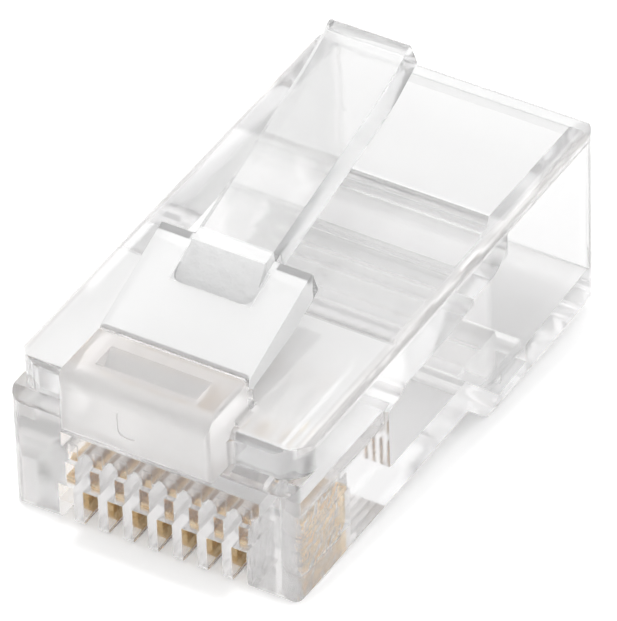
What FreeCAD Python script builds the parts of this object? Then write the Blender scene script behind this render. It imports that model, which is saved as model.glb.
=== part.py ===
"""Eight-way modular plug: clear one-piece housing, sprung latch and eight plated contact blades.

Modelled lying on its contact side. X runs across the plug, +Y points to the cable end and +Z to
the latch. Inside this file y is counted from the slotted nose face and z from the lowest line of
the underside; every piece is moved to the middle of the plug's length when it is written.
"""
import FreeCAD, Part
import math
import os

Vector = FreeCAD.Vector

# ---- housing, outside ----
BODY_WIDTH = 11.68
BODY_LENGTH = 21.75         # slotted nose face to cable end
BODY_HEIGHT = 8.0           # at the deepest line of the cable end
NOSE_HEIGHT = 6.5           # thinner front part that enters the jack
STEP_START = 12.1           # where the underside begins to drop to the deep cable end
STEP_ANGLE = 45.0
STEP_RADIUS = 2.2
KEEL_LENGTH = 1.3           # short level keel behind the step, which the plug rests on
KEEL_BLEND = 5.0
HEEL_RISE = 0.4             # from the keel the underside climbs towards the cable end
HEEL_RADIUS = 0.55
NOSE_CORNER = 0.55          # radius of the upright edges at the nose
TAIL_CORNER = 0.8           # and at the cable end
EDGE_ROUND = 0.33           # long edges
FINE_ROUND = 0.1            # small inner and outer edges
SHOULDER_SETBACK = 0.52     # upper nose face stands behind the slotted one
SHOULDER_FOOT = 1.38        # depth of that face below the top
SHOULDER_SLOPE = 0.28       # drop of the ledge at its foot
SHOULDER_CORNER = 1.1       # radius of the upper nose face's upright edges

# ---- housing, inside ----
SIDE_WALL = 1.08
TOP_WALL = 0.95
FLOOR_WALL = 0.95
CAVITY_FRONT = 7.1          # wall that the wire channels start from
JACKET_STOP = 15.6          # upright ceiling face that stops the cable jacket
JACKET_DROP = 1.25
JACKET_ROUND = 1.2          # its large rounding, over which the wires turn forward
GUIDE_STEP = 13.15          # second ceiling step: a short steep face and a long shallow ramp
GUIDE_FACE = 0.25
GUIDE_ROUND = 0.9
GUIDE_RAMP = 1.65
GUIDE_DROP = 0.4
COMB_STEP = 8.4             # third ceiling step, just behind the channels
COMB_RAMP = 0.5
COMB_DROP = 0.3
LEAD_RAMP = 0.37            # last small ramp, into the channels
LEAD_DROP = 0.1
MOUTH_FLARE = 0.35          # lead-in around the cable entry

# ---- strain relief bar in its window on the underside ----
RELIEF_WIDTH = 8.6
RELIEF_LENGTH = 2.4         # to the upright face that bites the cable jacket
RELIEF_GAP = 0.55           # along the plug, between the bar and the step behind it
RELIEF_WEB = 0.25           # thin web that the bar tips on when it is crimped
WINDOW_LENGTH = 1.5         # free way behind the bar
WINDOW_SIDE = 0.15

# ---- contact field ----
WAYS = 8
PITCH = 1.016
SLOT_WIDTH = 0.62
SLOT_HEIGHT = 1.68          # of the slots' mouths in the nose face
SLOT_LENGTH = 4.75
FIN_ROUND = 0.08            # rounding of the fins' lower edges
FIN_TRIM = 0.1              # fins end this far above the end blocks
GROOVE_BORE = 0.92          # round-bottomed grooves for the wires, under one flat ceiling
GROOVE_DEPTH = 0.3
GUIDE_END = 1.35            # where the wires' ends stop

# ---- contact blades ----
BLADE_THICKNESS = 0.34
BLADE_FIT = 0.02            # each side of a blade in its seat
BLADE_LENGTH = 3.88
BLADE_SETBACK = 0.77        # front of the blade's foot behind the nose face
BLADE_PROUD = 0.12          # foot stands below the end blocks until the plug is crimped
BLADE_FOOT = 1.96           # height of the foot
BLADE_NOSE_RADIUS = 0.45
CRIMP_TRAVEL = 0.6          # room above the blade that crimping uses up
CROWN_SETBACK = 0.49        # front of the pronged crown behind the foot's
CROWN_LENGTH = 2.9
CROWN_HEIGHT = 0.5
PRONGS = 3
PRONG_HEIGHT = 0.2
PRONG_WIDTH = 0.5

# ---- latch root block ----
ROOT_WIDTH = 6.1
ROOT_PROUD = 0.9            # in front of the slotted nose face
ROOT_DEPTH = 1.45           # below the top
ROOT_RISE = 1.35            # above the top
ROOT_BROW = 0.75            # large rounding along its upper front edge
ROOT_CORNER = 0.18
ROOT_FOOT = 0.3             # rounding along its lower front edge and fillets along its sides
POCKET_WIDTH = 4.1
POCKET_DEPTH = 0.55
POCKET_FRONT = 0.05
POCKET_FLAT = 0.55
POCKET_LENGTH = 1.08
GATE_X = -0.24              # shallow oblong left by the moulding gate on the block's front
GATE_WIDTH = 0.84
GATE_HEIGHT = 1.3
GATE_DEPTH = 0.06

# ---- latch ----
HINGE_RADIUS = 0.3          # half the latch's thickness where it bends
HINGE_GAP = 0.02
HINGE_Y = 2.18
CREASE_LIP = 0.1            # from the crease in the top surface to the bend's centre line
SEAT_SETBACK = 0.05         # the block ends this far in front of that line
LATCH_RISE = 20.9           # slope of the broad part, degrees
TONGUE_WIDTH = 6.1
TONGUE_LENGTH = 4.5
TONGUE_THICKNESS = 1.08
TONGUE_TAPER = 2.55         # length over which it thickens from the bend
BAR_WIDTH = 3.25            # under its foot; the sides draw in towards the top
BAR_TOP_WIDTH = 2.98
TIP_WIDTH = 3.7             # it widens a little all the way to its tip
TIP_TOP_WIDTH = 3.33
BAR_START = 4.05
BAR_LIFT = 0.38             # bar's top above the broad part's where it starts
BAR_SLOPE = 6.2             # bar's top falls away from the broad part, degrees
BAR_BEND = 8.3              # from the bar's start to where it turns up again
BAR_LENGTH = 10.45
BAR_UPTURN = 10.5
BAR_THICKNESS = 0.95
BAR_BEND_RADIUS = 12.0
BAR_TIP_CORNER = 0.5
RAMP_START = 2.47           # the bar rises on a ramp from the bottom of a sink in the broad part
RAMP_SINK = 0.37
RAMP_CORNER = 0.4
SHOULDER_FILLET = 0.32

TOP = BODY_HEIGHT
NOSE_FLOOR = BODY_HEIGHT - NOSE_HEIGHT
HALF_WIDTH = BODY_WIDTH / 2
HINGE_Z = TOP + ROOT_RISE - HINGE_RADIUS
MID_LENGTH = (BODY_LENGTH - ROOT_PROUD) / 2
MARGIN = 1.0                # how far a cutting tool runs past what it cuts

PLANES = {
    "yz": (Vector(0, 1, 0), Vector(0, 0, 1), Vector(1, 0, 0)),
    "xz": (Vector(1, 0, 0), Vector(0, 0, 1), Vector(0, 1, 0)),
    "xy": (Vector(1, 0, 0), Vector(0, 1, 0), Vector(0, 0, 1)),
}


def rounded_outline(corners, plane):
    """Closed wire through corners (a, b, radius) of a plane; a radius of 0 leaves a corner sharp."""
    first, second, _ = PLANES[plane]
    points = [first * a + second * b for a, b, _ in corners]
    ends = []
    for i, (_, _, radius) in enumerate(corners):
        point = points[i]
        back = (points[i - 1] - point).normalize()
        ahead = (points[(i + 1) % len(points)] - point).normalize()
        if radius == 0:
            ends.append((point, None, point))
            continue
        half = back.getAngle(ahead) / 2
        reach = radius / math.tan(half)
        inward = (back + ahead).normalize()
        middle = point + inward * (radius / math.sin(half) - radius)
        ends.append((point + back * reach, middle, point + ahead * reach))
    edges = []
    for i, (start, middle, end) in enumerate(ends):
        if middle is not None:
            edges.append(Part.Arc(start, middle, end).toShape())
        following = ends[(i + 1) % len(ends)][0]
        if end.distanceToPoint(following) > 1e-6:
            edges.append(Part.LineSegment(end, following).toShape())
    return Part.Wire(edges)


def prism(corners, plane, low, high):
    """Solid that carries a rounded outline along the plane's normal from low to high."""
    normal = PLANES[plane][2]
    face = Part.Face(rounded_outline(corners, plane))
    face.translate(normal * low)
    return face.extrude(normal * (high - low))


def block(x0, x1, y0, y1, z0, z1):
    return Part.makeBox(x1 - x0, y1 - y0, z1 - z0, Vector(x0, y0, z0))


def way_x(index):
    return (index - (WAYS - 1) / 2) * PITCH


def keel_end():
    return STEP_START + NOSE_FLOOR / math.tan(math.radians(STEP_ANGLE)) + KEEL_LENGTH


def body_envelope():
    """Outer form: side outline, plan outline and end outline crossed with each other."""
    slope = math.tan(math.radians(STEP_ANGLE))
    ledge = TOP - SHOULDER_FOOT
    side = prism([
        (0, NOSE_FLOOR, EDGE_ROUND),
        (STEP_START, NOSE_FLOOR, 0),
        (STEP_START + NOSE_FLOOR / slope, 0, STEP_RADIUS),
        (keel_end(), 0, KEEL_BLEND),
        (BODY_LENGTH, HEEL_RISE, HEEL_RADIUS),
        (BODY_LENGTH, TOP, EDGE_ROUND),
        (SHOULDER_SETBACK, TOP, EDGE_ROUND),
        (SHOULDER_SETBACK, ledge, 0),
        (0, ledge - SHOULDER_SLOPE, FINE_ROUND),
    ], "yz", -HALF_WIDTH, HALF_WIDTH)
    plan = prism([
        (-HALF_WIDTH, 0, NOSE_CORNER),
        (HALF_WIDTH, 0, NOSE_CORNER),
        (HALF_WIDTH, BODY_LENGTH, TAIL_CORNER),
        (-HALF_WIDTH, BODY_LENGTH, TAIL_CORNER),
    ], "xy", -MARGIN, TOP + MARGIN)
    end = prism([
        (-HALF_WIDTH, 0, EDGE_ROUND),
        (HALF_WIDTH, 0, EDGE_ROUND),
        (HALF_WIDTH, TOP, EDGE_ROUND),
        (-HALF_WIDTH, TOP, EDGE_ROUND),
    ], "xz", -MARGIN, BODY_LENGTH + MARGIN)
    shoulder_plan = prism([
        (-HALF_WIDTH, SHOULDER_SETBACK, SHOULDER_CORNER),
        (HALF_WIDTH, SHOULDER_SETBACK, SHOULDER_CORNER),
        (HALF_WIDTH, BODY_LENGTH + MARGIN, 0),
        (-HALF_WIDTH, BODY_LENGTH + MARGIN, 0),
    ], "xy", ledge, TOP + MARGIN)
    below = block(-HALF_WIDTH, HALF_WIDTH, -MARGIN, BODY_LENGTH + MARGIN, -MARGIN, ledge)
    return side.common(plan).common(end).common(shoulder_plan.fuse(below))


def root_block():
    """Block at the nose that the latch springs from, with the hollow it bends in."""
    half = ROOT_WIDTH / 2
    crown = TOP + ROOT_RISE
    rear = HINGE_Y - SEAT_SETBACK
    side = prism([
        (-ROOT_PROUD, TOP - ROOT_DEPTH, ROOT_FOOT),
        (SHOULDER_SETBACK + MARGIN, TOP - ROOT_DEPTH, 0),
        (SHOULDER_SETBACK + MARGIN, TOP - MARGIN / 2, 0),
        (rear + 2 * ROOT_FOOT, TOP - MARGIN / 2, 0),
        (rear + 2 * ROOT_FOOT, TOP, 0),
        (rear, TOP, ROOT_FOOT),
        (rear, HINGE_Z, 0),
        (HINGE_Y - CREASE_LIP, crown, 0),
        (-ROOT_PROUD, crown, ROOT_BROW),
    ], "yz", -half, half)
    plan = prism([
        (-half, -ROOT_PROUD, ROOT_CORNER),
        (half, -ROOT_PROUD, ROOT_CORNER),
        (half, rear + MARGIN, 0),
        (-half, rear + MARGIN, 0),
    ], "xy", 0, crown + MARGIN)
    end = prism([
        (-half, 0, 0),
        (half, 0, 0),
        (half, crown, ROOT_CORNER),
        (-half, crown, ROOT_CORNER),
    ], "xz", -ROOT_PROUD - MARGIN, rear + MARGIN)
    return side.common(plan).common(end)


def root_fillets():
    """Fillets between the root block's sides and the body's top and upper nose face."""
    shapes = []
    half = ROOT_WIDTH / 2
    for side in (-1, 1):
        shapes.append(prism([
            (side * (half - ROOT_FOOT), TOP - ROOT_FOOT, 0),
            (side * (half + ROOT_FOOT), TOP - ROOT_FOOT, 0),
            (side * (half + ROOT_FOOT), TOP, 0),
            (side * half, TOP, ROOT_FOOT),
            (side * half, TOP + ROOT_FOOT, 0),
            (side * (half - ROOT_FOOT), TOP + ROOT_FOOT, 0),
        ], "xz", SHOULDER_SETBACK + EDGE_ROUND, HINGE_Y - SEAT_SETBACK))
        shapes.append(prism([
            (side * (half - ROOT_FOOT), SHOULDER_SETBACK + ROOT_FOOT, 0),
            (side * (half + ROOT_FOOT), SHOULDER_SETBACK + ROOT_FOOT, 0),
            (side * (half + ROOT_FOOT), SHOULDER_SETBACK, 0),
            (side * half, SHOULDER_SETBACK, ROOT_FOOT),
            (side * half, SHOULDER_SETBACK - ROOT_FOOT, 0),
            (side * (half - ROOT_FOOT), SHOULDER_SETBACK - ROOT_FOOT, 0),
        ], "xy", TOP - SHOULDER_FOOT, TOP - EDGE_ROUND))
    return shapes


def gate_mark():
    """Shallow oblong on the front of the root block where the plastic entered the mould."""
    half = GATE_WIDTH / 2
    return prism([
        (GATE_X - half, TOP - GATE_HEIGHT / 2, half - FINE_ROUND),
        (GATE_X + half, TOP - GATE_HEIGHT / 2, half - FINE_ROUND),
        (GATE_X + half, TOP + GATE_HEIGHT / 2, half - FINE_ROUND),
        (GATE_X - half, TOP + GATE_HEIGHT / 2, half - FINE_ROUND),
    ], "xz", -ROOT_PROUD - MARGIN, GATE_DEPTH - ROOT_PROUD)


def hinge_seat():
    """Round hollow that the latch's bend lies in."""
    radius = HINGE_RADIUS + HINGE_GAP
    start = Vector(-ROOT_WIDTH / 2 - MARGIN, HINGE_Y, HINGE_Z)
    return Part.makeCylinder(radius, ROOT_WIDTH + 2 * MARGIN, start, Vector(1, 0, 0))


def root_pocket():
    """Sink in the top of the root block that thins the way to the bend."""
    half = POCKET_WIDTH / 2
    crown = TOP + ROOT_RISE
    return prism([
        (POCKET_FRONT, crown + MARGIN, 0),
        (POCKET_FRONT, crown - POCKET_DEPTH, ROOT_CORNER),
        (POCKET_FRONT + POCKET_FLAT, crown - POCKET_DEPTH, ROOT_CORNER),
        (POCKET_FRONT + POCKET_LENGTH, crown, 0),
        (POCKET_FRONT + POCKET_LENGTH, crown + MARGIN, 0),
    ], "yz", -half, half)


def ceilings():
    """Heights of the cavity's ceiling, from the cable end to the flat one over the wires."""
    jacket = TOP - TOP_WALL
    guide = jacket - JACKET_DROP
    comb = guide - GUIDE_DROP
    lead = comb - COMB_DROP
    return jacket, guide, comb, lead, lead - LEAD_DROP


def cable_cavity():
    """Room for the cable jacket, narrowing in ceiling steps to the wire channels."""
    half = HALF_WIDTH - SIDE_WALL
    slope = math.tan(math.radians(STEP_ANGLE))
    jacket, guide, comb, lead, flat = ceilings()
    foot, floor = relief_places()
    low_floor = FLOOR_WALL
    return prism([
        (BODY_LENGTH + MARGIN, jacket, 0),
        (JACKET_STOP, jacket, 0),
        (JACKET_STOP, guide, JACKET_ROUND),
        (GUIDE_STEP, guide, 0),
        (GUIDE_STEP - GUIDE_FACE, guide - GUIDE_FACE, GUIDE_ROUND),
        (GUIDE_STEP - GUIDE_RAMP, comb, 0),
        (COMB_STEP, comb, 0),
        (COMB_STEP - COMB_RAMP, lead, 0),
        (CAVITY_FRONT + LEAD_RAMP, lead, 0),
        (CAVITY_FRONT, flat, 0),
        (CAVITY_FRONT, floor, 0),
        (foot, floor, 0),
        (foot + (floor - low_floor) / slope, low_floor, STEP_RADIUS - FLOOR_WALL),
        (keel_end(), low_floor, 0),
        (BODY_LENGTH, low_floor + HEEL_RISE, 0),
        (BODY_LENGTH + MARGIN, low_floor + HEEL_RISE, 0),
    ], "yz", -half, half)


def mouth_flare():
    """Four-sided lead-in around the cable entry."""
    half = HALF_WIDTH - SIDE_WALL
    low = FLOOR_WALL + HEEL_RISE
    high = TOP - TOP_WALL
    rings = []
    for y, grow in ((BODY_LENGTH - MOUTH_FLARE, 0), (BODY_LENGTH, MOUTH_FLARE)):
        ring = Part.makePolygon([
            Vector(-half - grow, y, low - grow),
            Vector(half + grow, y, low - grow),
            Vector(half + grow, y, high + grow),
            Vector(-half - grow, y, high + grow),
            Vector(-half - grow, y, low - grow),
        ])
        rings.append(ring)
    return Part.makeLoft(rings, True)


def relief_places():
    """Where the slope behind the step starts and how high it starts."""
    foot = STEP_START + FLOOR_WALL * math.tan(math.radians(STEP_ANGLE / 2))
    return foot, NOSE_FLOOR + FLOOR_WALL


def relief_ends():
    """Front and rear of the strain relief bar."""
    front = relief_places()[0] + RELIEF_GAP
    return front, front + RELIEF_LENGTH


def relief_window():
    """Opening in the underside that the crimping tool enters."""
    foot, floor = relief_places()
    slope = math.tan(math.radians(STEP_ANGLE))
    rear = relief_ends()[1] + WINDOW_LENGTH
    half = RELIEF_WIDTH / 2 + WINDOW_SIDE
    return prism([
        (foot, floor, 0),
        (foot + (floor + MARGIN) / slope, -MARGIN, 0),
        (rear, -MARGIN, 0),
        (rear, floor, 0),
    ], "yz", -half, half)


def relief_bar():
    """Wedge of the strain relief, hanging on its thin web from the floor of the front part."""
    foot, floor = relief_places()
    front, rear = relief_ends()
    low = floor - RELIEF_LENGTH * math.tan(math.radians(STEP_ANGLE))
    half = RELIEF_WIDTH / 2
    wedge = prism([
        (front, floor, 0),
        (rear, floor, 0),
        (rear, low, FINE_ROUND),
    ], "yz", -half, half)
    web = block(-half, half, foot - RELIEF_GAP, front + RELIEF_GAP, floor - RELIEF_WEB, floor)
    return wedge.fuse(web)


def slot_mouths():
    """One comb-shaped tool: the open slots in the nose and the rounded fins between them."""
    fin_low = NOSE_FLOOR + FIN_TRIM
    mouth_top = NOSE_FLOOR + SLOT_HEIGHT
    half = SLOT_WIDTH / 2
    corners = [(way_x(0) - half, -MARGIN, 0)]
    for index in range(WAYS):
        x = way_x(index)
        if index > 0:
            corners.append((x - half, fin_low, FIN_ROUND))
        corners += [(x - half, mouth_top, 0), (x + half, mouth_top, 0)]
        if index < WAYS - 1:
            corners.append((x + half, fin_low, FIN_ROUND))
    corners.append((way_x(WAYS - 1) + half, -MARGIN, 0))
    return prism(corners, "xz", -ROOT_PROUD - MARGIN, SLOT_LENGTH)


def contact_seats():
    """Tools for the blades' close-fitting seats and for the wire guide above them."""
    flat = ceilings()[-1]
    wire = flat - GROOVE_BORE / 2
    crest = flat - GROOVE_BORE + GROOVE_DEPTH
    half = WAYS * PITCH / 2
    tools = [block(-half, half, GUIDE_END, CAVITY_FRONT + LEAD_RAMP, crest, flat)]
    seat_width = BLADE_THICKNESS + 2 * BLADE_FIT
    foot_top = NOSE_FLOOR - BLADE_PROUD + BLADE_FOOT
    crown_front = BLADE_SETBACK + CROWN_SETBACK
    for index in range(WAYS):
        x = way_x(index)
        tools.append(block(x - seat_width / 2, x + seat_width / 2,
                           BLADE_SETBACK - BLADE_FIT, BLADE_SETBACK + BLADE_LENGTH,
                           NOSE_FLOOR, foot_top + CRIMP_TRAVEL))
        tools.append(block(x - seat_width / 2, x + seat_width / 2,
                           crown_front - BLADE_FIT, crown_front + CROWN_LENGTH + BLADE_FIT,
                           foot_top, foot_top + CROWN_HEIGHT + PRONG_HEIGHT + CRIMP_TRAVEL))
        tools.append(Part.makeCylinder(GROOVE_BORE / 2, CAVITY_FRONT - GUIDE_END + LEAD_RAMP,
                                       Vector(x, GUIDE_END, wire), Vector(0, 1, 0)))
    return tools


def housing():
    body = body_envelope().fuse([root_block()] + root_fillets())
    tools = [cable_cavity(), mouth_flare(), relief_window(), root_pocket(), gate_mark(), hinge_seat(),
             slot_mouths()]
    return body.cut(tools + contact_seats()).fuse(relief_bar()).removeSplitter()


def blade(index):
    """Contact blade: a long foot with rounded ends, and a shorter crown with piercing prongs."""
    x = way_x(index) - BLADE_THICKNESS / 2
    front = BLADE_SETBACK
    rear = front + BLADE_LENGTH
    low = NOSE_FLOOR - BLADE_PROUD
    foot = low + BLADE_FOOT
    crown = front + CROWN_SETBACK
    base = foot + CROWN_HEIGHT
    outline = [
        (crown, foot, 0),
        (front, foot, 0),
        (front, low, BLADE_NOSE_RADIUS),
        (rear, low, BLADE_NOSE_RADIUS),
        (rear, foot, 0),
        (crown + CROWN_LENGTH, foot, 0),
    ]
    step = (CROWN_LENGTH - PRONG_WIDTH) / (PRONGS - 1)
    for prong in reversed(range(PRONGS)):
        left = crown + prong * step
        outline += [
            (left + PRONG_WIDTH, base, 0),
            (left + PRONG_WIDTH / 2, base + PRONG_HEIGHT, 0),
            (left, base, 0),
        ]
    return prism(outline, "yz", x, x + BLADE_THICKNESS)


def bar_section(y, width, top_width, low, high):
    """Cross-section that limits the latch's bar: sides drafted from low to high, upright beyond them."""
    wide, narrow = width / 2, top_width / 2
    side = [(wide, low - MARGIN), (wide, low), (narrow, high), (narrow, high + MARGIN)]
    other = [(-x, z) for x, z in reversed(side)]
    return Part.makePolygon([Vector(x, y, z) for x, z in side + other + side[:1]])


def latch():
    """Latch drawn level with its bend at the origin, then tipped up to its slope of rest."""
    top = HINGE_RADIUS
    under = top - TONGUE_THICKNESS
    bar_top = top + BAR_LIFT
    bar_under = bar_top - BAR_THICKNESS
    bend = BAR_START + BAR_BEND
    tip = BAR_START + BAR_LENGTH
    bend_top = bar_top - BAR_BEND * math.tan(math.radians(BAR_SLOPE))
    tip_top = bend_top + (tip - bend) * math.tan(math.radians(BAR_UPTURN - BAR_SLOPE))
    half = TONGUE_WIDTH / 2
    half_bar = BAR_WIDTH / 2
    half_tip = TIP_WIDTH / 2
    tongue = prism([
        (0, top, 0),
        (0, -HINGE_RADIUS, 0),
        (TONGUE_TAPER, under, 0),
        (TONGUE_LENGTH, under, FINE_ROUND),
        (TONGUE_LENGTH, top, FINE_ROUND),
    ], "yz", -half, half)
    channel = prism([
        (TONGUE_TAPER - MARGIN, under - MARGIN, 0),
        (TONGUE_TAPER + bar_under - under, bar_under, FINE_ROUND),
        (TONGUE_LENGTH + MARGIN, bar_under, 0),
        (TONGUE_LENGTH + MARGIN, under - MARGIN, 0),
    ], "yz", -half_bar, half_bar)
    sink = prism([
        (RAMP_START, top - RAMP_SINK, 0),
        (BAR_START, bar_top, 0),
        (BAR_START, bar_top + MARGIN, 0),
        (RAMP_START, bar_top + MARGIN, 0),
    ], "yz", -half_bar, half_bar)
    sink_plan = prism([
        (-half_bar, RAMP_START, RAMP_CORNER),
        (half_bar, RAMP_START, RAMP_CORNER),
        (half_bar, BAR_START + MARGIN, 0),
        (-half_bar, BAR_START + MARGIN, 0),
    ], "xy", under, bar_top + MARGIN)
    knuckle = Part.makeCylinder(HINGE_RADIUS, TONGUE_WIDTH, Vector(-half, 0, 0), Vector(1, 0, 0))
    bar = prism([
        (RAMP_START, top - RAMP_SINK, 0),
        (BAR_START, bar_top, FINE_ROUND),
        (bend, bend_top, BAR_BEND_RADIUS),
        (tip, tip_top, EDGE_ROUND),
        (tip, tip_top - BAR_THICKNESS, EDGE_ROUND),
        (bend, bend_top - BAR_THICKNESS, BAR_BEND_RADIUS),
        (BAR_START, bar_under, 0),
        (RAMP_START, bar_under, 0),
    ], "yz", -half_tip, half_tip)
    plan = prism([
        (-half_tip, 0, 0),
        (half_tip, 0, 0),
        (half_tip, tip, BAR_TIP_CORNER),
        (-half_tip, tip, BAR_TIP_CORNER),
    ], "xy", under - MARGIN, bar_top + MARGIN)
    foot = bar_section(0, BAR_WIDTH, BAR_TOP_WIDTH, bar_under, bar_top)
    start = bar_section(BAR_START, BAR_WIDTH, BAR_TOP_WIDTH, bar_under, bar_top)
    end = bar_section(tip + MARGIN, TIP_WIDTH, TIP_TOP_WIDTH, bar_under, bar_top)
    draft = Part.makeLoft([foot, start, end], True, True)
    draft.rotate(Vector(0, BAR_START, bar_top), Vector(1, 0, 0), -BAR_SLOPE)
    webs = prism([
        (-half_bar - SHOULDER_FILLET, TONGUE_LENGTH - FINE_ROUND, 0),
        (half_bar + SHOULDER_FILLET, TONGUE_LENGTH - FINE_ROUND, 0),
        (half_bar + SHOULDER_FILLET, TONGUE_LENGTH, 0),
        (half_bar, TONGUE_LENGTH, SHOULDER_FILLET),
        (half_bar, TONGUE_LENGTH + SHOULDER_FILLET, 0),
        (-half_bar, TONGUE_LENGTH + SHOULDER_FILLET, 0),
        (-half_bar, TONGUE_LENGTH, SHOULDER_FILLET),
        (-half_bar - SHOULDER_FILLET, TONGUE_LENGTH, 0),
    ], "xy", bar_under, top - FINE_ROUND)
    strap = bar.common(plan).common(draft)
    shape = tongue.cut([channel, sink.common(sink_plan)]).fuse([knuckle, strap, webs]).removeSplitter()
    shape.rotate(Vector(0, 0, 0), Vector(1, 0, 0), LATCH_RISE)
    shape.translate(Vector(0, HINGE_Y, HINGE_Z))
    return shape


def main():
    os.makedirs("parts", exist_ok=True)
    pieces = {"housing": housing(), "latch": latch()}
    for index in range(WAYS):
        pieces[f"contact_{index + 1}"] = blade(index)
    for name, shape in pieces.items():
        shape.translate(Vector(0, -MID_LENGTH, 0))
        shape.exportStep(f"parts/{name}.step")
        print(name, len(shape.Solids), shape.isValid(), round(shape.Volume, 3))


main()
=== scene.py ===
"""Looks for the eight-way modular plug: clear plastic, gold blades, white table and soft studio light."""
import math
from typing import NamedTuple

import bpy
from mathutils import Matrix, Vector


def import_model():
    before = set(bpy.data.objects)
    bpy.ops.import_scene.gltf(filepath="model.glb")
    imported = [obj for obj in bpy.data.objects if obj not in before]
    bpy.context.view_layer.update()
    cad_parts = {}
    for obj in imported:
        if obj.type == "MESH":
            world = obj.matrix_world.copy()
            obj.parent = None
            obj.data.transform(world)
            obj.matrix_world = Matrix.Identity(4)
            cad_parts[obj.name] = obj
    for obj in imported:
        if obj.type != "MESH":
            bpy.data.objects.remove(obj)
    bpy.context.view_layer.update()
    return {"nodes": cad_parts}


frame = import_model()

MM = 0.001

# ---- camera ----
CAMERA_AZIMUTH = 31.855
CAMERA_ELEVATION = 39.415
CAMERA_ROLL = 1.956
CAMERA_DISTANCE = 300.63 * MM
CAMERA_CLIP_START = 20 * MM
CAMERA_LENS = 487.12
CAMERA_TARGET = Vector((-0.075, 0.56, 4.627)) * MM

# ---- table ----
TABLE_SIZE = 1.2
TABLE_WHITE = (0.93, 0.93, 0.93)
TABLE_ROUGHNESS = 0.7
TABLE_GLOW = 0.28
KEEL_Y = 3.85 * MM          # the plug tips forward on this line until its nose touches the table

# ---- light ----
ROOM_BACK = 0.96            # brightness of the room behind the plug, as the camera sees it
ROOM_FRONT = 0.78           # and on the camera's side
ROOM_FADE = (-0.7, 0.4)     # where it goes from front to back, as cosines of the angle from straight behind

KEY_PLACE = (-0.02, 0.005, 0.42)
KEY_SIZE = 0.03
KEY_WATTS = 0.36
FILL_PLACE = (0.09, -0.23, 0.31)
FILL_SIZE = 0.06
FILL_WATTS = 0.18

# light passes many clear walls on its way through the plug
CLEAR_BOUNCES = 64
GLOSSY_BOUNCES = 32
DIFFUSE_BOUNCES = 4

# ---- gold plating, which varies from a pale polished tone to a deeper, duller one ----
PLATING_GRAIN = 0.3 * MM
PLATING_DETAIL = 4
PLATING_DEPTH = PLATING_GRAIN / 4
PLATING_RELIEF = 0.3
PLATING_CONTRAST = (0.35, 0.65)
GOLD_PALE = (0.82, 0.65, 0.4)
GOLD_DEEP = (0.62, 0.4, 0.17)
GOLD_POLISHED = 0.12
GOLD_DULL = 0.34

# ---- clear plastic ----
CLEAR_IOR = 1.585
POLISHED = 0.07
GRAIN = 0.45 * MM           # size of the unevenness
GRAIN_DETAIL = 3
GRAIN_DEPTH = GRAIN / 2

# tints: the plastic's own, white and warm ones laid over it, and three greys laid over it as painted shade
CLEAR = (0.97, 0.965, 0.965)
WHITE = (1.0, 1.0, 1.0)
WARM = (1.0, 0.978, 0.968)
# painted shade: grey tints that darken the plastic where it is to look shaded
MID_PAINTED_SHADE = (0.63, 0.63, 0.63)
DARK_PAINTED_SHADE = (0.4, 0.4, 0.4)
LIGHT_PAINTED_SHADE = (0.74, 0.74, 0.74)


class FrostAndShade(NamedTuple):
    """A matt, tinted, milky or uneven place, as a box in the object's own space; the grey tints are painted
    shade. Its sizes are in mm.
    """
    low: tuple
    high: tuple
    edge: tuple             # width of the soft edge along X, Y and Z
    roughness: float
    tint: tuple
    milk: float
    uneven: float = 0


def on_both_sides(frost):
    """The place and its mirror image in the plug's middle plane."""
    (left, front, bottom), (right, back, top) = frost.low, frost.high
    return [frost, frost._replace(low=(-right, front, bottom), high=(-left, back, top))]


# planes of the housing, in mm. A box reaches just past a face to take it in.
SIDE = 6.0
NOSE = -10.6
MOUTH = 11.5
ABOVE_TOP = 8.1
TOP_WALL = 7.93             # just under the outer face of the top, so that the inner one stays clear
CAVITY_SIDE = 4.85

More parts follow.
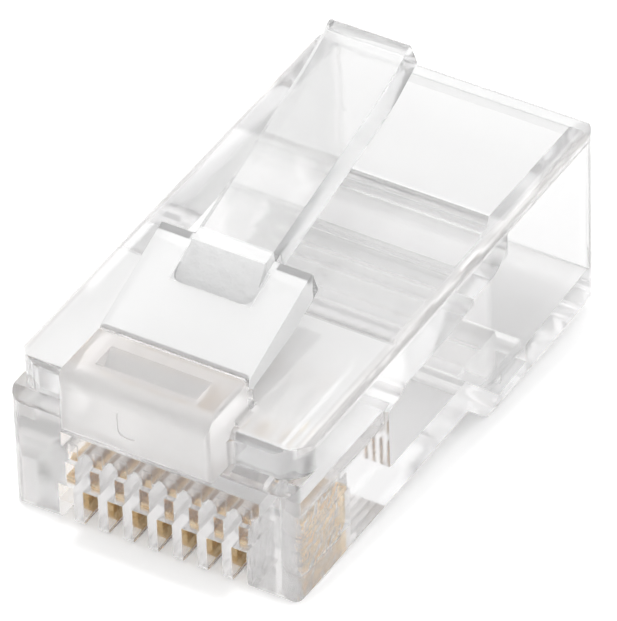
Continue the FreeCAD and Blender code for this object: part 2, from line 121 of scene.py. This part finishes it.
# each place is laid over the ones before it
HOUSING_FROST_AND_SHADE = [
    # middle of the top
    FrostAndShade((-SIDE, -3.0, TOP_WALL), (SIDE, 5.0, ABOVE_TOP), (0.04, 0.2, 0.04), 0.08, WHITE, 0.22),
    # rear of the top: painted shade, a mid grey tint, with a little milk
    FrostAndShade((-SIDE, 4.6, TOP_WALL), (SIDE, MOUTH, ABOVE_TOP), (0.04, 0.3, 0.04), 0.08, MID_PAINTED_SHADE, 0.15),
    # rear of the sides: painted shade, a mid grey tint
    *on_both_sides(FrostAndShade((5.7, 3.0, 1.2), (SIDE, MOUTH, 7.9), (0.04, 0.5, 0.3), 0.05, MID_PAINTED_SHADE, 0.05)),
    # front of the top
    FrostAndShade((-SIDE, NOSE, TOP_WALL), (SIDE, -3.0, ABOVE_TOP), (0.04, 0.2, 0.04), 0.12, WHITE, 0.5),
    # long edges of the top
    *on_both_sides(
        FrostAndShade((5.4, -10.0, 7.45), (SIDE, MOUTH, ABOVE_TOP), (0.2, 0.2, 0.2), 0.25, WARM, 0.35)),
    # rim above the mouth's flare
    FrostAndShade((-SIDE, 10.55, 7.0), (SIDE, MOUTH, ABOVE_TOP), (0.2, 0.1, 0.1), 0.2, WHITE, 0.3),
    # roof of the wire guide
    FrostAndShade((-4.3, -10.0, 4.0), (4.3, -2.9, 5.4), (0.1, 0.1, 0.1), 0.2, WARM, 0.05),
    # nose
    FrostAndShade((-SIDE, NOSE, 1.0), (SIDE, -10.0, 7.9), (0.2, 0.2, 0.2), 0.12, WARM, 0.05),
    # latch's root
    FrostAndShade((-3.3, -11.5, 6.3), (3.3, -8.6, 9.5), (0.1, 0.1, 0.1), 0.25, WARM, 0.3),
    # outer wall of the last slot
    FrostAndShade((3.6, -10.4, 0.8), (4.05, -6.3, 4.6), (0.05, 0.1, 0.1), 0.12, WARM, 0.12, 0.8),
    # the jacket's stop in the cavity: painted shade, a dark grey tint that fades out towards its top and
    # bottom, on a matt milky surface
    FrostAndShade((-CAVITY_SIDE, 4.3, 5.9), (CAVITY_SIDE, 5.2, 7.9), (0.05, 0.03, 1.0), 0.15, DARK_PAINTED_SHADE, 0.6),
    # step in the cavity's ceiling: painted shade, a light grey tint, on a matt milky surface
    FrostAndShade((-CAVITY_SIDE, 2.0, 5.45), (CAVITY_SIDE, 2.75, 6.2), (0.05, 0.03, 0.3), 0.15, LIGHT_PAINTED_SHADE, 0.4),
]
LATCH_FROST_AND_SHADE = [
    # all of it
    FrostAndShade((-3.2, -9.0, 8.0), (3.2, 7.0, 15.0), (0.1, 0.1, 0.1), 0.08, WHITE, 0.1),
    # broad part
    FrostAndShade((-3.2, -9.0, 8.6), (3.2, -4.12, 11.3), (0.05, 0.05, 0.05), 0.25, WHITE, 0.6),
    # ramp at the bar's foot: frosted and uneven, with painted shade as a light grey tint
    FrostAndShade((-1.68, -6.05, 9.6), (1.68, -4.68, 11.4), (0.04, 0.04, 0.04), 0.4, LIGHT_PAINTED_SHADE, 0.8, 0.4),
    # rear edges of the shoulders: painted shade, a dark grey tint, on a matt milky surface
    *on_both_sides(FrostAndShade((-3.2, -4.48, 10.6), (-1.75, -4.1, 11.2), (0.04, 0.04, 0.04), 0.3, DARK_PAINTED_SHADE, 0.8)),
]

# the Mix node's sockets for each kind of value: first input, second input and output
MIX_SOCKETS = {"FLOAT": (2, 3, 0), "RGBA": (6, 7, 2)}


def camera():
    data = bpy.data.cameras.new("camera")
    data.lens = CAMERA_LENS
    data.clip_start = CAMERA_CLIP_START
    obj = bpy.data.objects.new("camera", data)
    bpy.context.scene.collection.objects.link(obj)
    azimuth = math.radians(CAMERA_AZIMUTH)
    elevation = math.radians(CAMERA_ELEVATION)
    back = Vector((math.sin(azimuth) * math.cos(elevation),
                   -math.cos(azimuth) * math.cos(elevation),
                   math.sin(elevation)))
    roll = Matrix.Rotation(math.radians(-CAMERA_ROLL), 3, "Z")
    turn = (-back).to_track_quat("-Z", "Y").to_matrix() @ roll
    obj.matrix_world = Matrix.Translation(CAMERA_TARGET + back * CAMERA_DISTANCE) @ turn.to_4x4()
    bpy.context.scene.camera = obj


def new_material(name):
    material = bpy.data.materials.new(name)
    material.use_nodes = True
    nodes = material.node_tree.nodes
    return material, nodes, material.node_tree.links, nodes["Principled BSDF"]


def node(nodes, kind, **values):
    """New shader node with its properties set."""
    made = nodes.new(kind)
    for name, value in values.items():
        setattr(made, name, value)
    return made


def box_mask(nodes, links, place, frost):
    """1 inside the box, where frost and painted shade are laid, and 0 outside it, with soft edges."""
    low = Vector(frost.low) * MM
    high = Vector(frost.high) * MM
    offset = node(nodes, "ShaderNodeVectorMath", operation="SUBTRACT")
    links.new(place, offset.inputs[0])
    offset.inputs[1].default_value = (low + high) / 2
    size = node(nodes, "ShaderNodeVectorMath", operation="ABSOLUTE")
    links.new(offset.outputs[0], size.inputs[0])
    depth = node(nodes, "ShaderNodeVectorMath", operation="SUBTRACT")
    depth.inputs[0].default_value = (high - low) / 2
    links.new(size.outputs[0], depth.inputs[1])
    scaled = node(nodes, "ShaderNodeVectorMath", operation="DIVIDE")
    links.new(depth.outputs[0], scaled.inputs[0])
    scaled.inputs[1].default_value = Vector(frost.edge) * MM
    split = node(nodes, "ShaderNodeSeparateXYZ")
    links.new(scaled.outputs[0], split.inputs[0])
    least = node(nodes, "ShaderNodeMath", operation="MINIMUM")
    links.new(split.outputs["X"], least.inputs[0])
    links.new(split.outputs["Y"], least.inputs[1])
    mask = node(nodes, "ShaderNodeMath", operation="MINIMUM", use_clamp=True)
    links.new(least.outputs[0], mask.inputs[0])
    links.new(split.outputs["Z"], mask.inputs[1])
    return mask.outputs[0]


def laid_over(nodes, links, mask, below, value):
    """Blends a number or a colour over the one below it by the mask. Returns the new socket."""
    kind = "RGBA" if isinstance(value, tuple) else "FLOAT"
    first, second, result = MIX_SOCKETS[kind]
    mix = node(nodes, "ShaderNodeMix", data_type=kind)
    links.new(mask, mix.inputs["Factor"])
    for index, source in ((first, below), (second, value)):
        if isinstance(source, bpy.types.NodeSocket):
            links.new(source, mix.inputs[index])
        else:
            mix.inputs[index].default_value = (*source, 1) if isinstance(source, tuple) else source
    return mix.outputs[result]


def ranged(nodes, links, value, span, low, high):
    """Maps the span of a value onto low to high, and holds it at those outside the span."""
    mapped = node(nodes, "ShaderNodeMapRange")
    links.new(value, mapped.inputs["Value"])
    mapped.inputs["From Min"].default_value = span[0]
    mapped.inputs["From Max"].default_value = span[1]
    mapped.inputs["To Min"].default_value = low
    mapped.inputs["To Max"].default_value = high
    return mapped.outputs["Result"]


def grain(nodes, links, place, size, detail):
    """Noise in the object's own space, with grains of about this size."""
    noise = node(nodes, "ShaderNodeTexNoise")
    links.new(place, noise.inputs["Vector"])
    noise.inputs["Scale"].default_value = 1 / size
    noise.inputs["Detail"].default_value = detail
    return noise.outputs[0]


def relief(nodes, links, shader, height, depth):
    """Bump on the shader from a height socket. Returns its strength input."""
    bump = node(nodes, "ShaderNodeBump")
    bump.inputs["Distance"].default_value = depth
    links.new(height, bump.inputs["Height"])
    links.new(bump.outputs["Normal"], shader.inputs["Normal"])
    return bump.inputs["Strength"]


def clear_plastic(name, frosted):
    """Polished clear plastic, with its frosted places and its places of painted shade laid over it."""
    material, nodes, links, shader = new_material(name)
    shader.inputs["IOR"].default_value = CLEAR_IOR
    place = node(nodes, "ShaderNodeTexCoord").outputs["Object"]
    rough = POLISHED
    colour = CLEAR
    clear = 1.0
    bumps = 0.0
    for frost in frosted:
        mask = box_mask(nodes, links, place, frost)
        rough = laid_over(nodes, links, mask, rough, frost.roughness)
        # the grey tints laid here are painted shade
        colour = laid_over(nodes, links, mask, colour, frost.tint)
        clear = laid_over(nodes, links, mask, clear, 1 - frost.milk)
        bumps = laid_over(nodes, links, mask, bumps, frost.uneven)
    height = grain(nodes, links, place, GRAIN, GRAIN_DETAIL)
    strength = relief(nodes, links, shader, height, GRAIN_DEPTH)
    links.new(bumps, strength)
    links.new(rough, shader.inputs["Roughness"])
    links.new(colour, shader.inputs["Base Color"])
    links.new(clear, shader.inputs["Transmission Weight"])
    return material


def gold():
    """Gold plating on stamped metal, uneven in tone and polish."""
    material, nodes, links, shader = new_material("gold_plate")
    shader.inputs["Metallic"].default_value = 1
    place = node(nodes, "ShaderNodeTexCoord").outputs["Object"]
    height = grain(nodes, links, place, PLATING_GRAIN, PLATING_DETAIL)
    wear = ranged(nodes, links, height, PLATING_CONTRAST, 0, 1)
    links.new(laid_over(nodes, links, wear, GOLD_PALE, GOLD_DEEP), shader.inputs["Base Color"])
    links.new(laid_over(nodes, links, wear, GOLD_POLISHED, GOLD_DULL), shader.inputs["Roughness"])
    strength = relief(nodes, links, shader, height, PLATING_DEPTH)
    strength.default_value = PLATING_RELIEF
    return material


def table():
    """Table under the plug, tilted to touch the nose: the CAD stays level, so the table leans instead."""
    slope = min(math.atan2(v.co.z, KEEL_Y - v.co.y)
                for part in frame["nodes"].values() for v in part.data.vertices if v.co.y < 0)
    bpy.ops.mesh.primitive_plane_add(size=TABLE_SIZE)
    floor = bpy.context.object
    floor.name = "table"
    floor.location = (0, KEEL_Y, 0)
    floor.rotation_euler = (-slope, 0, 0)
    floor.data.materials.append(white_table())


def seen_directly(nodes, links):
    """1 for what the camera sees, straight or through glass and reflections, and 0 for the light."""
    path = node(nodes, "ShaderNodeLightPath")
    both = node(nodes, "ShaderNodeMath", operation="MAXIMUM")
    links.new(path.outputs["Is Camera Ray"], both.inputs[0])
    links.new(path.outputs["Is Glossy Ray"], both.inputs[1])
    seen = node(nodes, "ShaderNodeMath", operation="MAXIMUM")
    links.new(both.outputs[0], seen.inputs[0])
    links.new(path.outputs["Is Transmission Ray"], seen.inputs[1])
    return seen.outputs[0]


def white_table():
    """Matt white with part of its brightness its own, so that it stays white and keeps a pale shadow."""
    material, nodes, links, shader = new_material("table_white")
    shader.inputs["Base Color"].default_value = (*TABLE_WHITE, 1)
    shader.inputs["Roughness"].default_value = TABLE_ROUGHNESS
    glow = node(nodes, "ShaderNodeEmission")
    share = node(nodes, "ShaderNodeMath", operation="MULTIPLY")
    links.new(seen_directly(nodes, links), share.inputs[0])
    share.inputs[1].default_value = TABLE_GLOW
    links.new(share.outputs[0], glow.inputs["Strength"])
    both = node(nodes, "ShaderNodeAddShader")
    links.new(shader.outputs[0], both.inputs[0])
    links.new(glow.outputs[0], both.inputs[1])
    links.new(both.outputs[0], nodes["Material Output"].inputs["Surface"])
    return material


def world():
    """White behind the table for the camera. The light is a soft room, darker on the camera's side."""
    scene = bpy.context.scene
    scene.world = bpy.data.worlds.new("studio")
    scene.world.use_nodes = True
    nodes = scene.world.node_tree.nodes
    links = scene.world.node_tree.links
    azimuth = math.radians(CAMERA_AZIMUTH)
    behind = node(nodes, "ShaderNodeVectorMath", operation="DOT_PRODUCT")
    links.new(node(nodes, "ShaderNodeTexCoord").outputs["Generated"], behind.inputs[0])
    behind.inputs[1].default_value = (-math.sin(azimuth), math.cos(azimuth), 0)
    room = ranged(nodes, links, behind.outputs["Value"], ROOM_FADE, ROOM_FRONT, ROOM_BACK)
    camera_ray = node(nodes, "ShaderNodeLightPath").outputs["Is Camera Ray"]
    links.new(laid_over(nodes, links, camera_ray, room, 1.0), nodes["Background"].inputs["Strength"])
    nodes["Background"].inputs["Color"].default_value = (1, 1, 1, 1)


def area(name, place, size, watts):
    """Square lamp that faces the plug."""
    data = bpy.data.lights.new(name, "AREA")
    data.shape = "SQUARE"
    data.size = size
    data.energy = watts
    obj = bpy.data.objects.new(name, data)
    bpy.context.scene.collection.objects.link(obj)
    place = Vector(place)
    obj.matrix_world = Matrix.Translation(place) @ (-place).to_track_quat("-Z", "Y").to_matrix().to_4x4()


def lamps():
    area("key_lamp", KEY_PLACE, KEY_SIZE, KEY_WATTS)
    area("fill_lamp", FILL_PLACE, FILL_SIZE, FILL_WATTS)


def settings():
    scene = bpy.context.scene
    scene.view_settings.view_transform = "Standard"
    scene.cycles.max_bounces = CLEAR_BOUNCES
    scene.cycles.transmission_bounces = CLEAR_BOUNCES
    scene.cycles.glossy_bounces = GLOSSY_BOUNCES
    scene.cycles.diffuse_bounces = DIFFUSE_BOUNCES


def dress():
    finishes = {
        "housing": clear_plastic("clear_housing", HOUSING_FROST_AND_SHADE),
        "latch": clear_plastic("clear_latch", LATCH_FROST_AND_SHADE),
    }
    metal = gold()
    for name, part in frame["nodes"].items():
        part.data.materials.clear()
        part.data.materials.append(finishes.get(name, metal))


settings()
camera()
world()
lamps()
table()
dress()
